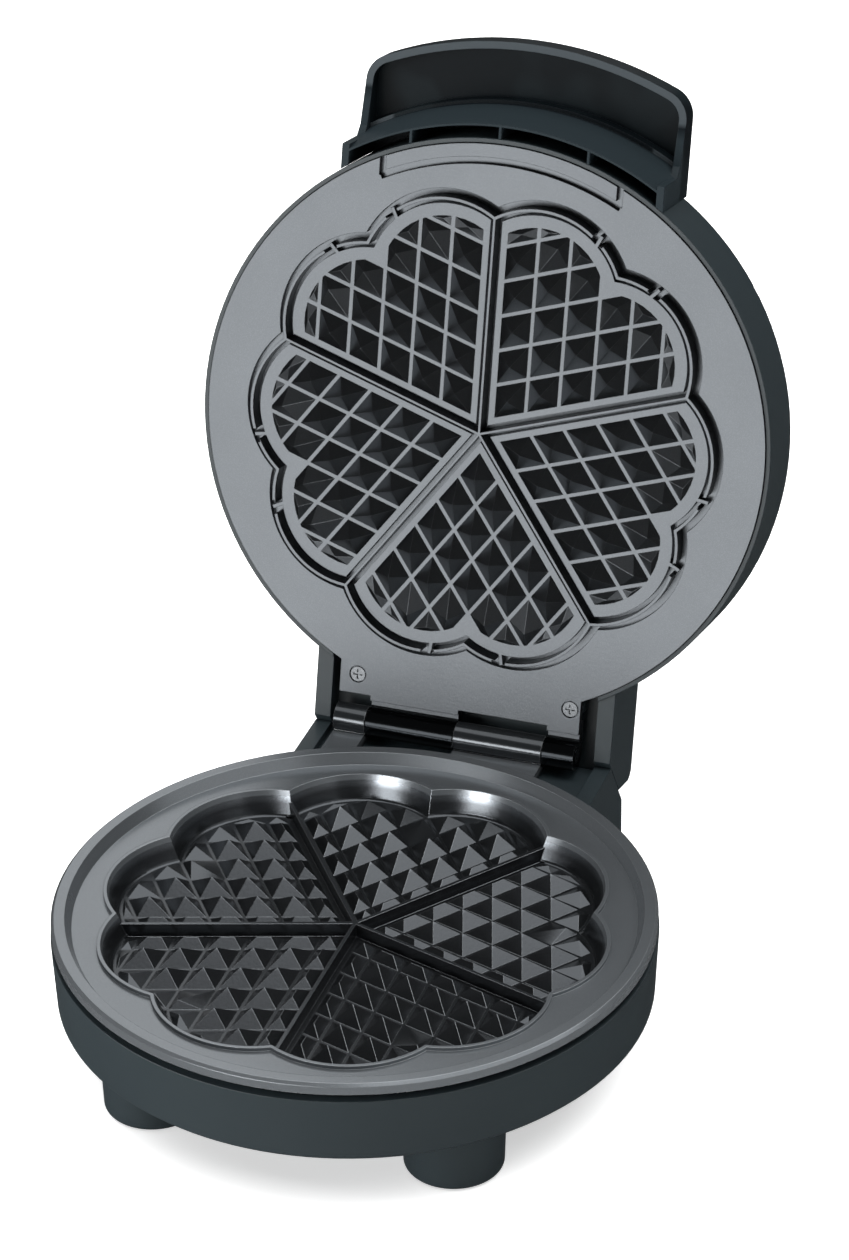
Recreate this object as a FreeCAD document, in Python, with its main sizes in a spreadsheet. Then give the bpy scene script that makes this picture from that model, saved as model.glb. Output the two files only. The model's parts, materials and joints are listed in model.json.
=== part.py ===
"""Round heart waffle maker, open, as separate pieces on a two-body hinge.

Millimetres.  Each base piece is drawn about the axis of the lower plate, with z = 0 at the top of
the lip round the flower.  Each lid piece is drawn in the same axes with the lid shut, and its
Placement swings it open about the hinge pin.  Hearts meet the front (-Y); the hinge is at +Y.
"""

import FreeCAD, Part
import math
import os

import Sketcher

Vector = FreeCAD.Vector
Z_UP = Vector(0, 0, 1)
X_RIGHT = Vector(1, 0, 0)

DIMENSIONS = {
    # how the whole stands
    "plate_level": 52.8,          # lip of the lower plate above the table
    "disc_centre_y": -48.7,       # plate axis behind or before the middle of the open outline
    "open_angle": 104.06,         # swing of the lid from shut
    "hinge_y": 110.66,
    "hinge_z": 3.34,
    "running_gap": 0.05,          # radial play of the knuckles on the pin
    "seat_gap": 0.2,              # air between pieces that are laid together
    # flower outline: ten lobes on one circle, dividers between the hearts
    "lobe_centre": 52.6,
    "flower_core": 60.0,
    "heart_count": 5,
    "lobe_count": 10,
    # waffle grid
    "grid_first": 15.3,           # first valley of the upper plate from the divider
    "grid_pitch": 11.55,
    "upper_valley": 1.3,
    "upper_edge": 4.3,            # straight edge of the grid from the divider
    "upper_grid_lobe": 23.9,      # lobe radius that bounds the grid
    "upper_peak": 4.0,
    "lower_valley": 1.0,
    "lower_edge": 2.9,
    "lower_grid_lobe": 28.6,
    "lower_peak": 5.0,
    # lower plate
    "rim_radius": 101.0,
    "rim_top_z": 2.5,
    "rim_inner": 96.4,
    "rim_foot": 94.2,
    "rim_edge_z": -1.4,
    "rim_bevel": 1.0,
    "ring_z": -1.3,
    "ring_thickness": 3.0,
    "lip_lobe": 34.2,
    "lip_width": 1.2,
    "pan_wall": 2.6,
    "cavity_depth": 9.0,
    "cavity_lean": 20.0,          # angle of the cavity wall from upright
    "cavity_round": 2.0,
    "floor_thickness": 2.5,
    "plateau_z": -8.5,            # floor between the lower pyramids
    "plateau_lobe": 29.5,
    "plateau_edge": 2.3,          # straight edge of the plateau from the divider
    "lower_divider_z": -4.0,
    "divider_width": 1.2,
    "divider_reach": 79.6,
    # hinge
    "knuckle_radius": 5.3,
    "pin_radius": 2.5,
    "hinge_shift": -1.3,          # middle of the knuckles beside the middle of the plate
    "barrel_half": 44.1,
    "knuckle_split": 32.5,
    "knuckle_gap": 0.35,
    "lower_web_low": -3.6,
    "lower_web_high": 0.4,
    "lower_web_start": 95.6,      # the web beside the middle of the hinge
    "lower_outer_web_start": 90.0,
    # base casing
    "casing_top_radius": 101.3,
    "casing_low_radius": 100.2,
    "casing_top_z": -4.0,
    "casing_low_z": -28.0,
    "wall": 2.5,
    "neck_half": 54.5,
    "neck_front_y": 80.0,
    "neck_back_y": 126.2,
    "neck_top_z": -1.0,
    "neck_low_z": -50.3,
    "cheek_inner": 48.6,
    "saddle_z": -3.9,
    "base_bevel_y": 112.87,
    "base_bevel_z": -21.6,
    "saddle_inner_y": 114.2,
    "casing_edge": 1.5,
    "boss_radius": 5.0,
    "boss_length": 10.0,
    "lug_radius": 4.0,
    "lug_cup_radius": 8.5,
    "lug_low_z": -14.0,
    "lug_cup": 3.0,               # thickness under a lug
    # covers and feet
    "cover_thickness": 2.5,
    "vent_length": 26.0,
    "vent_width": 3.0,
    "vent_pitch": 9.0,
    "foot_x": 52.5,
    "foot_y": -54.0,
    "foot_top_radius": 17.4,
    "foot_low_radius": 16.6,
    "foot_low_z": -52.0,
    "foot_edge": 2.0,
    "foot_wall": 2.2,
    "pad_radius": 12.5,
    "pad_recess": 0.8,
    "rear_pad_x": 40.0,
    "rear_pad_y": 104.0,
    "rear_pad_radius": 8.0,
    # lid plate, lid shut
    "lid_plane_z": 3.0,
    "lid_plate_radius": 100.3,
    "lid_disc": 3.0,
    "lid_boss_radius": 92.0,
    "lid_boss": 3.0,
    "groove_z": 5.4,
    "groove_lobe": 33.2,
    "bead_z": -0.7,
    "bead_outer_lobe": 30.95,
    "bead_inner_lobe": 29.85,
    "heart_z": 2.0,               # face of the hearts, proud of the plate
    "frame_lobe": 28.3,
    "heart_edge": 2.0,            # straight edge of a heart from the divider
    "divider_bead": 0.9,
    "bead_cusp": 75.7,            # where the divider beads run into the ring bead
    "tick_angle": 9.2,            # from the middle of a heart
    "tick_width": 1.3,
    "tick_start": 77.5,
    "tick_end": 83.0,
    "bead_break": 4.8,            # width of the opening in the bead at a tick
    "slot_inner": 93.3,
    "slot_outer": 95.7,
    "slot_half": 43.2,
    "slot_arm": 2.2,
    "slot_arm_y": -84.5,
    "slot_depth": 2.2,
    "slot_swing": 53.6,
    "tab_half": 44.1,
    "tab_end_y": 103.0,
    "tab_notch_y": 101.2,
    "upper_web_low": 4.6,
    "upper_web_high": 8.2,
    "upper_web_start": 98.8,
    "tab_screw_x": 39.0,
    "tab_screw_y": 94.1,
    "screw_seat_radius": 3.05,
    "screw_seat_depth": 1.6,
    # lid casing, lid shut
    "lid_radius": 102.0,
    "lid_front_z": 3.6,
    "lid_back_z": 34.0,
    "lid_round": 4.0,
    "lid_neck_z": 4.5,
    "lid_bevel_y": 111.88,
    "lid_bevel_z": 19.6,
    "lid_neck_back_y": 126.0,
    "lid_saddle_z": 12.5,
    "lid_saddle_inner_y": 117.0,
    # handle, lid shut
    "handle_half": 57.3,
    "handle_gap": 0.1,
    "handle_front_z": 3.5,
    "handle_back_z": 33.5,
    "shelf_low_radius": 107.0,
    "shelf_high_radius": 111.5,
    "paddle_radius": 131.5,
    "paddle_low_z": 24.8,
    "paddle_skin_z": 30.3,
    "paddle_rim": 2.6,
    "paddle_corner": 10.0,
    "handle_rib": 0.9,
    "handle_rib_x": 31.5,
    "handle_rib_shift": -1.5,
    "shelf_wall": 0.8,
    "shelf_pocket": 20.5,
    "cheek_root_y": -86.4,
    "cheek_tip_y": -112.0,
    "cheek_foot_y": -93.5,
    "cheek_bend_y": -97.0,
    "cheek_bend_z": 21.5,
    "handle_screw_x": 30.0,
    "handle_screw_y": -92.5,
    "handle_screw_z": 27.5,
    # small hardware
    "screw_head": 2.65,
    "screw_head_thickness": 1.4,
    "screw_shank": 1.5,
    "cross_width": 0.8,
    "cross_depth": 0.7,
    # inner pieces
    "element_ring": 58.0,
    "element_tube": 3.2,
    "element_sweep": 310.0,
    "reflector_radius": 86.5,
    "reflector_thickness": 0.6,
    "reflector_flange": 3.0,
    "reflector_hole": 13.0,
    "lower_reflector_z": -21.5,
    "upper_reflector_z": 19.5,
    "thermostat_radius": 8.0,
    "thermostat_height": 9.0,
    "strap_length": 30.0,
    "strap_width": 8.0,
    "strap_thickness": 1.0,
    "tag_x": 5.0,
    "tag_width": 5.0,
    "tag_thickness": 2.0,
    "tag_length": 4.0,
    "fuse_radius": 2.2,
    "fuse_length": 12.0,
    "fuse_y": 32.0,
    "fuse_wire": 0.6,
    "gland_z": -38.0,
    "cord_radius": 3.5,
    "gland_radius": 6.5,
    "gland_flange": 9.0,
    "gland_flange_thickness": 2.5,
    "clamp_y": 110.0,
    "clamp_screw_x": 10.0,
    "clamp_length": 28.0,
    "clamp_width": 9.0,
    "clamp_thickness": 4.0,
    "terminal_block_y": 92.0,
    "terminal_block_length": 34.0,
    "terminal_block_width": 11.0,
    "terminal_block_height": 12.0,
    "terminal_hole": 2.0,
    "terminal_pitch": 11.0,
    "lamp_radius": 4.0,
    "lamp_x": 11.0,
    "lamp_y": -84.0,
    "lamp_proud": 0.8,
    "lamp_holder_length": 38.0,
    "lamp_holder_width": 12.0,
    "lamp_holder_height": 4.0,
}


class Size:
    """A number kept together with the spreadsheet expression that gives it."""

    def __init__(self, value, text):
        self.value = float(value)
        self.text = text

    @staticmethod
    def of(value):
        return value if isinstance(value, Size) else Size(value, repr(float(value)))

    def join(self, other, sign, value):
        return Size(value, "(%s %s %s)" % (self.text, sign, other.text))

    def __add__(self, other):
        other = Size.of(other)
        return self.join(other, "+", self.value + other.value)

    def __sub__(self, other):
        other = Size.of(other)
        return self.join(other, "-", self.value - other.value)

    def __mul__(self, other):
        other = Size.of(other)
        return self.join(other, "*", self.value * other.value)

    def __truediv__(self, other):
        other = Size.of(other)
        return self.join(other, "/", self.value / other.value)

    def __radd__(self, other):
        return Size.of(other) + self

    def __rsub__(self, other):
        return Size.of(other) - self

    def __rmul__(self, other):
        return Size.of(other) * self

    def __neg__(self):
        return Size(-self.value, "(0 - %s)" % self.text)


def beside(radius, across):
    """How far a circle reaches along one axis at a given distance across it."""
    value = math.sqrt(radius.value ** 2 - across.value ** 2)
    text = "sqrt(%s * %s - %s * %s)" % (radius.text, radius.text, across.text, across.text)
    return Size(value, text)


doc = FreeCAD.newDocument("waffle_maker")
sheet = doc.addObject("Spreadsheet::Sheet", "Sizes")


class Sizes:
    """The spreadsheet's aliases as attributes."""


size = Sizes()
for row, (alias, number) in enumerate(DIMENSIONS.items(), start=1):
    sheet.set("A%d" % row, alias)
    sheet.set("B%d" % row, str(number))
    sheet.setAlias("B%d" % row, alias)
    setattr(size, alias, Size(number, "Sizes." + alias))
doc.recompute()


# ---------------------------------------------------------------- drawing helpers


def bind(obj, prop, value):
    """Sets a property from the sheet and keeps it bound."""
    obj.setExpression(prop, Size.of(value).text)


def new_body(label):
    body = doc.addObject("PartDesign::Body", label)
    body.Label = label
    return body


def origin_feature(body, role):
    return next(f for f in body.Origin.OriginFeatures if f.Role == role)


def new_sketch(body, role, offset=0):
    """A sketch on one of the body's own origin planes, moved along the plane's normal."""
    sketch = body.newObject("Sketcher::SketchObject", body.Label + "_sketch")
    sketch.AttachmentSupport = (origin_feature(body, role), [""])
    sketch.MapMode = "FlatFace"
    bind(sketch, ".AttachmentOffset.Base.z", offset)
    return sketch


def fix_point(sketch, geometry, corner, x, y):
    """Ties a point of the sketch to its two coordinates."""
    for kind, value, axis in (("DistanceX", x, -2), ("DistanceY", y, -1)):
        value = Size.of(value)
        if abs(value.value) < 1e-9:
            sketch.addConstraint(Sketcher.Constraint("PointOnObject", geometry, corner, axis))
            continue
        index = sketch.addConstraint(
            Sketcher.Constraint(kind, -1, 1, geometry, corner, value.value))
        name = "%s_%d" % (kind, index)
        sketch.renameConstraint(index, name)
        bind(sketch, "Constraints." + name, value)


def fix_radius(sketch, geometry, radius):
    index = sketch.addConstraint(Sketcher.Constraint("Radius", geometry, radius.value))
    name = "radius_%d" % index
    sketch.renameConstraint(index, name)
    bind(sketch, "Constraints." + name, radius)


def draw_circle(sketch, radius, x=0, y=0):
    x, y, radius = Size.of(x), Size.of(y), Size.of(radius)
    circle = Part.Circle(Vector(x.value, y.value, 0), Z_UP, radius.value)
    geometry = sketch.addGeometry(circle)
    fix_radius(sketch, geometry, radius)
    fix_point(sketch, geometry, 3, x, y)


def arc_between(start, end, radius):
    """The arc from start to end: counter-clockwise for a positive radius, else clockwise."""
    chord = end - start
    half = chord.Length / 2
    across = Vector(-chord.y, chord.x, 0).normalize()
    side = 1 if radius > 0 else -1
    centre = (start + end) / 2 + across * side * math.sqrt(max(radius ** 2 - half ** 2, 0))
    first = math.atan2(start.y - centre.y, start.x - centre.x)
    last = math.atan2(end.y - centre.y, end.x - centre.x)
    if side < 0:
        first, last = last, first
    return Part.ArcOfCircle(Part.Circle(centre, Z_UP, abs(radius)), first, last)


def draw_outline(sketch, corners):
    """A closed outline: each corner is (x, y), or (x, y, radius) where an arc leaves it."""
    points = [Vector(Size.of(c[0]).value, Size.of(c[1]).value, 0) for c in corners]
    edges = []
    for i, corner in enumerate(corners):
        start, end = points[i], points[(i + 1) % len(points)]
        if len(corner) == 3:
            radius = Size.of(corner[2])
            geometry = sketch.addGeometry(arc_between(start, end, radius.value))
            fix_radius(sketch, geometry, radius if radius.value > 0 else -radius)
            edges.append((geometry, 1, 2) if radius.value > 0 else (geometry, 2, 1))
        else:
            edges.append((sketch.addGeometry(Part.LineSegment(start, end)), 1, 2))
    for i, (geometry, first, last) in enumerate(edges):
        following, next_first, _ = edges[(i + 1) % len(edges)]
        sketch.addConstraint(
            Sketcher.Constraint("Coincident", geometry, last, following, next_first))
        fix_point(sketch, geometry, first, corners[i][0], corners[i][1])


def box_corners(x0, x1, y0, y1):
    return [(x0, y0), (x1, y0), (x1, y1), (x0, y1)]


def circle_sketch(body, role, radius, x=0, y=0, offset=0):
    sketch = new_sketch(body, role, offset)
    draw_circle(sketch, radius, x, y)
    return sketch


def outline_sketch(body, role, corners, offset=0):
    sketch = new_sketch(body, role, offset)
    draw_outline(sketch, corners)
    return sketch


def finish_feature(body, feature, adds):
    """Recomputes, and makes sure that the feature really added or removed material."""
    before = body.Shape.Volume if body.Shape and not body.Shape.isNull() else 0.0
    body.Tip = feature
    doc.recompute()
    change = body.Shape.Volume - before
    if (change <= 1e-6) if adds else (change >= -1e-6):
        raise RuntimeError("%s changed %s by %.3f" % (feature.Name, body.Label, change))
    return feature


def pad(body, sketch, length, symmetric=False):
    feature = body.newObject("PartDesign::Pad", body.Label + "_pad")
    feature.Profile = sketch
    bind(feature, "Length", length)
    if symmetric:
        feature.SideType = "Symmetric"
    return finish_feature(body, feature, True)


def pocket(body, sketch, length, symmetric=False, upward=False):
    """Cuts against the sketch's normal, or along it when upward."""
    feature = body.newObject("PartDesign::Pocket", body.Label + "_pocket")
    feature.Profile = sketch
    feature.Reversed = upward
    bind(feature, "Length", length)
    if symmetric:
        feature.SideType = "Symmetric"
    return finish_feature(body, feature, False)


def revolve(body, sketch):
    feature = body.newObject("PartDesign::Revolution", body.Label + "_revolution")
    feature.Profile = sketch
    feature.ReferenceAxis = (sketch, ["V_Axis"])
    feature.Angle = 360
    return finish_feature(body, feature, True)


def polar(body, feature, count, adds):
    """Repeats a feature evenly about the plate's axis."""
    pattern = body.newObject("PartDesign::PolarPattern", body.Label + "_polar")
    pattern.Originals = [feature]
    pattern.Axis = (origin_feature(body, "Z_Axis"), [""])
    pattern.Angle = 360
    bind(pattern, "Occurrences", count)
    return finish_feature(body, pattern, adds)


def mirror_x(body, features, adds):
    """Repeats features on the other side of the middle plane."""
    mirrored = body.newObject("PartDesign::Mirrored", body.Label + "_mirrored")
    mirrored.Originals = features
    mirrored.MirrorPlane = (origin_feature(body, "YZ_Plane"), [""])
    return finish_feature(body, mirrored, adds)


def flower_pad(body, lobe_radius, low, height):
    """Adds a flower-shaped plug from low upwards."""
    lobe = pad(body, circle_sketch(body, "XY_Plane", lobe_radius, size.lobe_centre, 0, low), height)
    polar(body, lobe, size.lobe_count, True)
    core = circle_sketch(body, "XY_Plane", size.flower_core, 0, 0, low)
    feature = body.newObject("PartDesign::Pad", body.Label + "_core")
    feature.Profile = core
    bind(feature, "Length", height)
    body.Tip = feature
    doc.recompute()


def flower_pocket(body, lobe_radius, low, height):
    """Cuts a flower-shaped hollow from low upwards."""
    sketch = circle_sketch(body, "XY_Plane", lobe_radius, size.lobe_centre, 0, low)
    lobe = pocket(body, sketch, height, upward=True)
    polar(body, lobe, size.lobe_count, False)
    core = circle_sketch(body, "XY_Plane", size.flower_core, 0, 0, low)
    pocket(body, core, height, upward=True)


# ---------------------------------------------------------------- primitive helpers


def place(obj, x, y, z, rotation=None):
    if rotation is not None:
        obj.Placement = FreeCAD.Placement(Vector(0, 0, 0), rotation)
    for axis, value in zip("xyz", (x, y, z)):
        bind(obj, ".Placement.Base." + axis, value)
    return obj


ALONG_X = FreeCAD.Rotation(Vector(0, 1, 0), 90)
ALONG_Y = FreeCAD.Rotation(Vector(1, 0, 0), -90)
HEAD_DOWN = FreeCAD.Rotation(Vector(1, 0, 0), 180)


def cylinder(label, radius, height, x=0, y=0, z=0, rotation=None):
    obj = doc.addObject("Part::Cylinder", label)
    bind(obj, "Radius", radius)
    bind(obj, "Height", height)
    return place(obj, x, y, z, rotation)


def block(label, wide, deep, high, x, y, z):
    """A box whose x and y give its middle and z its underside."""
    obj = doc.addObject("Part::Box", label)
    bind(obj, "Length", wide)
    bind(obj, "Width", deep)
    bind(obj, "Height", high)
    return place(obj, Size.of(x) - Size.of(wide) / 2, Size.of(y) - Size.of(deep) / 2, z)


def fuse(label, shapes):
    obj = doc.addObject("Part::MultiFuse", label)
    obj.Shapes = shapes
    obj.Refine = True
    return obj


def cut(label, base, tool):
    obj = doc.addObject("Part::Cut", label)
    obj.Base = base
    obj.Tool = tool
    return obj


def group(label, shapes):
    obj = doc.addObject("Part::Compound", label)
    obj.Links = shapes
    return obj


def screw(label, x, y, z, length, rotation=None):
    """A cross-head screw whose head's top is at z; it points down unless turned over."""
    head = cylinder(label + "_head", size.screw_head, size.screw_head_thickness, 0, 0,
                    -size.screw_head_thickness)
    shank = cylinder(label + "_shank", size.screw_shank, length, 0, 0, 0 - Size.of(length))
    bars = [block(label + "_bar", size.screw_head * 1.3, size.cross_width, size.cross_depth,
                  0, 0, -size.cross_depth),
            block(label + "_bar", size.cross_width, size.screw_head * 1.3, size.cross_depth,
                  0, 0, -size.cross_depth)]
    solid = cut(label, fuse(label + "_blank", [head, shank]), fuse(label + "_cross", bars))
    return place(solid, x, y, z, rotation)


def screws(label, places, length, rotation=None):
    """Identical screws as one group of separate solids."""
    singles = [screw("%s_%d" % (label, i), x, y, z, length, rotation)
               for i, (x, y, z) in enumerate(places)]
    return group(label, singles)


# ---------------------------------------------------------------- waffle grid


class Grid:
    """The pyramids of one plate.

    First is the first valley from a divider, edge the straight border of the field from a divider
    and lobe the lobe radius that bounds it.  The rest of a heart lies between the dividers at 0
    and 72 degrees.
    """

    def __init__(self, first, valley, edge, lobe, base, height):
        self.first = Size.of(first).value
        self.half_valley = valley.value / 2
        self.edge = edge.value
        self.lobe = lobe.value
        self.base = Size.of(base).value
        self.height = height.value
        self.sign = -1 if self.base > 0 else 1
        self.step = math.radians(360 / size.heart_count.value)
        self.cell = size.grid_pitch.value - valley.value

    def across(self, first, second, z=0.0):
        """The point at these distances from the two dividers."""
        return Vector(first, -(second + first * math.cos(self.step)) / math.sin(self.step), z)

    def corners(self, u0, u1, v0, v1):
        return [self.across(u0, v0), self.across(u1, v0), self.across(u1, v1),
                self.across(u0, v1)]

    def outline(self):
        """The bounded face of one heart's grid."""
        step, lobe, edge = self.step, self.lobe, self.edge
        reach = size.lobe_centre.value

        def facing(angle, radius):
            return Vector(radius * math.sin(angle), -radius * math.cos(angle), 0)

        near, far = facing(step / 4, reach), facing(step * 3 / 4, reach)
        start = Vector(edge, near.y - math.sqrt(lobe ** 2 - (edge - near.x) ** 2), 0)
        half = reach * math.sin(step / 4)
        cusp = facing(step / 2, reach * math.cos(step / 4) + math.sqrt(lobe ** 2 - half ** 2))
        mirror = facing(step / 2, 1.0)
        finish = mirror * 2 * start.dot(mirror) - start
        corner = self.across(edge, edge)
        return Part.Face(Part.Wire([
            Part.LineSegment(corner, start).toShape(),
            Part.Arc(start, near + facing(step / 4, lobe), cusp).toShape(),
            Part.Arc(cusp, far + facing(step * 3 / 4, lobe), finish).toShape(),
            Part.LineSegment(finish, corner).toShape()]))

    def rows(self):
        """Low and high edge of each row of cells, counted from a divider."""
        bounds = []
        low = self.edge
        line = self.first
        while line < size.lobe_centre.value + self.lobe:
            bounds.append((low, line - self.half_valley))
            low = line + self.half_valley
            line += size.grid_pitch.value
        return bounds

    def closed(self, faces):
        """A solid with these corner lists as faces; mirrored outlines are turned the right way."""
        solid = Part.Solid(Part.Shell([Part.Face(Part.makePolygon(f + f[:1])) for f in faces]))
        if solid.Volume < 0:
            solid.reverse()
        return solid

    def skirt(self, outline):
        """The underside and short sides that root a pyramid in its plate, and its foot."""
        if self.sign < 0:
            outline = outline[::-1]
        foot = [Vector(p.x, p.y, self.base) for p in outline]
        root = [Vector(p.x, p.y, self.base - 0.5 * self.sign) for p in outline]
        faces = [root]
        for i in range(len(foot)):
            j = (i + 1) % len(foot)
            faces.append([root[i], root[j], foot[j], foot[i]])
        return faces, foot

    def pyramid(self, face):
        """A pyramid on a cell cut short by the border, no steeper than the whole ones."""
        faces, foot = self.skirt(outline_points(face))
        middle = sum(foot, Vector(0, 0, 0)) / len(foot)
        sides = zip(foot, foot[1:] + foot[:1])
        nearest = min(middle.distanceToLine(a, b - a) for a, b in sides)
        rise = self.height * 2 * nearest / self.cell
        apex = Vector(middle.x, middle.y, self.base + rise * self.sign)
        for i in range(len(foot)):
            faces.append([foot[i], foot[(i + 1) % len(foot)], apex])
        return self.closed(faces)

    def hip(self, u0, u1, v0, v1):
        """A roof of one slope over a whole cell: a pyramid where both rows are as wide."""
        inset = min(u1 - u0, v1 - v0) / 2
        top = self.base + self.height * 2 * inset / self.cell * self.sign
        near = self.across(u0 + inset, v0 + inset, top)
        far = self.across(u1 - inset, v1 - inset, top)
        corners = self.corners(u0, u1, v0, v1)
        faces, foot = self.skirt(corners)
        if (far - near).Length < 0.01:
            for i in range(4):
                faces.append([foot[i], foot[(i + 1) % 4], near])
            return self.closed(faces)
        lift = Vector(0, 0, self.base)
        a, b, c, d = [p + lift for p in corners]
        if u1 - u0 < v1 - v0:
            slopes = [[a, b, near], [b, c, far, near], [c, d, far], [d, a, near, far]]
        else:
            slopes = [[d, a, near], [a, b, far, near], [b, c, far], [c, d, near, far]]
        if self.sign < 0:
            slopes = [slope[::-1] for slope in slopes]
        return self.closed(faces + slopes)

    def field(self, label):
        """The pyramids of all the hearts."""
        heart = self.outline()
        whole = self.cell ** 2 / math.sin(self.step)
        solids = []
        for u0, u1 in self.rows():
            for v0, v1 in self.rows():
                corners = self.corners(u0, u1, v0, v1)
                cell = Part.Face(Part.makePolygon(corners + corners[:1]))
                for face in cell.common(heart).Faces:
                    if face.Area > cell.Area * 0.999:
                        solids.append(self.hip(u0, u1, v0, v1))
                    elif face.Area > whole * 0.1:
                        solids.append(self.pyramid(face))
        turned = []
        for i in range(int(size.heart_count.value)):
            for solid in solids:
                copy = solid.copy()
                copy.rotate(Vector(0, 0, 0), Z_UP, i * 360 / size.heart_count.value)
                turned.append(copy)
        field = doc.addObject("Part::Feature", label)
        field.Shape = Part.makeCompound(turned)
        return field


def outline_points(face):
    """The corners of a face, with its arcs as short chords."""
    points = []
    for edge in face.OuterWire.OrderedEdges:
        straight = isinstance(edge.Curve, (Part.Line, Part.LineSegment))
        steps = edge.discretize(2 if straight else 4)
        if points and (steps[0] - points[-1]).Length > (steps[-1] - points[-1]).Length:
            steps.reverse()
        points.extend(steps[1:] if points else steps)
    if (points[0] - points[-1]).Length < 1e-4:
        points.pop()
    return points


# ---------------------------------------------------------------- where pieces stand

SHIFT = Vector(0, size.disc_centre_y.value, size.plate_level.value)
BASE_FRAME = FreeCAD.Placement(SHIFT, FreeCAD.Rotation())
HINGE = Vector(0, size.hinge_y.value, size.hinge_z.value)
SWING = FreeCAD.Rotation(X_RIGHT, -size.open_angle.value)
LID_FRAME = BASE_FRAME.multiply(FreeCAD.Placement(HINGE - SWING.multVec(HINGE), SWING))

pieces = []


def piece(label, obj, frame):
    """Makes a finished object a named piece of the base or the lid."""
    if obj.TypeId != "PartDesign::Body":
        obj = group(label, [obj])
    obj.Label = label
    obj.Placement = frame
    pieces.append(obj)


def at_both_sides(x, y, z=0):
    return [(-x, y, z), (x, y, z)]


# ---------------------------------------------------------------- lower plate

RING_LOW = size.ring_z - size.ring_thickness
FLOOR_LOW = -size.cavity_depth - size.floor_thickness
LUGS = [(52.9, -72.8), (85.6, 27.8)]
LUG_PLACES = [(sign * x, y) for x, y in LUGS for sign in (-1, 1)]
BOSS_LOW = size.lug_low_z


def cavity_lobe(body):
    """One lobe of the cavity: a flat floor that curves up into a leaning wall."""
    lean = math.radians(size.cavity_lean.value)
    wall = size.lobe_centre + size.lip_lobe - size.lip_width / 2
    low = -size.cavity_depth
    bend = size.cavity_round
    bend_top = low + bend * (1 - math.sin(lean))
    bend_x = wall + bend_top * math.tan(lean)
    sketch = new_sketch(body, "XZ_Plane")
    draw_outline(sketch, [
        (size.lobe_centre, low),
        (bend_x - bend * math.cos(lean), low, bend),
        (bend_x, bend_top),
        (wall, 0),
        (wall, 1),
        (size.lobe_centre, 1)])
    axis = sketch.addGeometry(Part.LineSegment(
        Vector(size.lobe_centre.value, -1, 0), Vector(size.lobe_centre.value, 1, 0)), True)
    fix_point(sketch, axis, 1, size.lobe_centre, -1)
    fix_point(sketch, axis, 2, size.lobe_centre, 1)
    feature = body.newObject("PartDesign::Groove", body.Label + "_groove")
    feature.Profile = sketch
    feature.ReferenceAxis = (sketch, ["Axis0"])
    feature.Angle = 360
    return finish_feature(body, feature, False)


def circles(body, radius, places, offset):
    """Equal circles on one sketch parallel to the plate."""
    sketch = new_sketch(body, "XY_Plane", offset)
    for x, y in places:
        draw_circle(sketch, radius, x, y)
    return sketch


def knuckles(body, spans, web_low, web_high):
    """Hinge knuckles, each with the web that carries it, then the bore through them.

    A span is its left end, its right end and where its web starts.
    """
    for left, right, web_start in spans:
        web = outline_sketch(body, "YZ_Plane", box_corners(
            web_start, size.hinge_y, web_low, web_high), left)
        pad(body, web, right - left)
        barrel = circle_sketch(
            body, "YZ_Plane", size.knuckle_radius, size.hinge_y, size.hinge_z, left)
        pad(body, barrel, right - left)
    bore = circle_sketch(
        body, "YZ_Plane", size.pin_radius + size.running_gap, size.hinge_y, size.hinge_z)
    pocket(body, bore, (size.barrel_half - size.hinge_shift) * 2 + 2, symmetric=True)


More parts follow.
